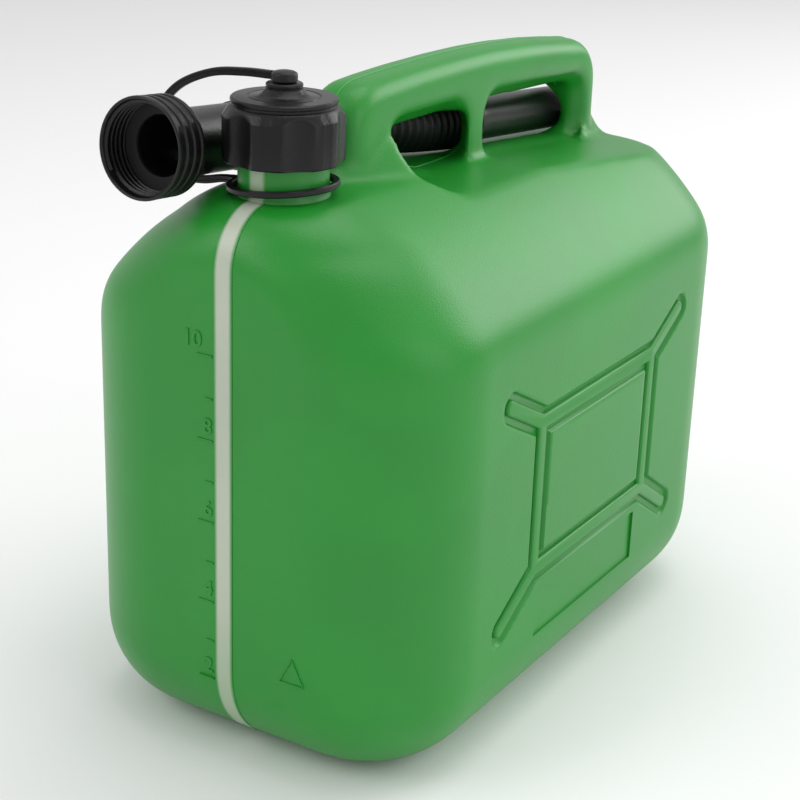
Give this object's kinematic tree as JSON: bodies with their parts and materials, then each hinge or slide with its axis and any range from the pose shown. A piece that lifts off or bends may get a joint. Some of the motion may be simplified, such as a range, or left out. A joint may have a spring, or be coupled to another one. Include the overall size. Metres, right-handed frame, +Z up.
{
  "type": "fuel can",
  "caption": "Upright plastic fuel can with a moulded grip, a screw cap on a captive strap, a translucent level stripe and a flexible pouring spout stored beside the grip.",
  "frame": {"origin": "middle of the flat underside of the tank", "axes": "+Z up, +Y from the filler neck towards the back, +X towards the plain side of the grip; the spout lies on the -X side"},
  "size_m": [0.185, 0.317, 0.2945],
  "materials": {
    "green_hdpe": "satin blow-moulded polyethylene",
    "natural_hdpe": "translucent uncoloured polyethylene",
    "black_plastic": "satin moulded",
    "black_soft": "satin flexible polyethylene",
    "seal_rubber": "matte"
  },
  "bodies": {
    "can": {"tank": "green_hdpe", "view_stripe": "natural_hdpe", "filler_neck": "green_hdpe", "tether_ring": "black_soft", "tether_strap": "black_soft"},
    "cap_eye": {"tether_eye": "black_soft"},
    "cap": {"screw_cap": "black_plastic", "cap_gasket": "seal_rubber"},
    "spout": {"spout_cup": "black_plastic", "spout_gasket": "seal_rubber", "spout_bellows": "black_soft"},
    "nozzle": {"spout_nozzle": "black_plastic"}
  },
  "joints": [
    {"name": "cap_lift", "type": "slide", "parent": "can", "child": "cap_eye", "axis": [0, 0, 1], "range_m": [0, 0.0135], "deforming": ["tether_strap"]},
    {"name": "cap_turn", "type": "hinge", "parent": "cap_eye", "child": "cap", "pos_m": [0, -0.1175, 0.27], "axis": [0, 0, 1], "range_deg": [0, 1080]},
    {"name": "spout_draw", "type": "slide", "parent": "can", "child": "nozzle", "axis": [-0.2238, -0.9712, 0.0816], "range_m": [0, 0.13851]},
    {"name": "cup_line_up", "type": "slide", "parent": "nozzle", "child": "spout", "axis": [1, 0, 0], "range_m": [0, 0.031], "deforming": ["spout_bellows"]}
  ],
  "couplings": [
    {"joint": "cap_lift", "follows": "cap_turn", "m_per_rad": 0.0007162},
    {"joint": "cup_line_up", "follows": "spout_draw", "ratio": 0.2238}
  ]
}
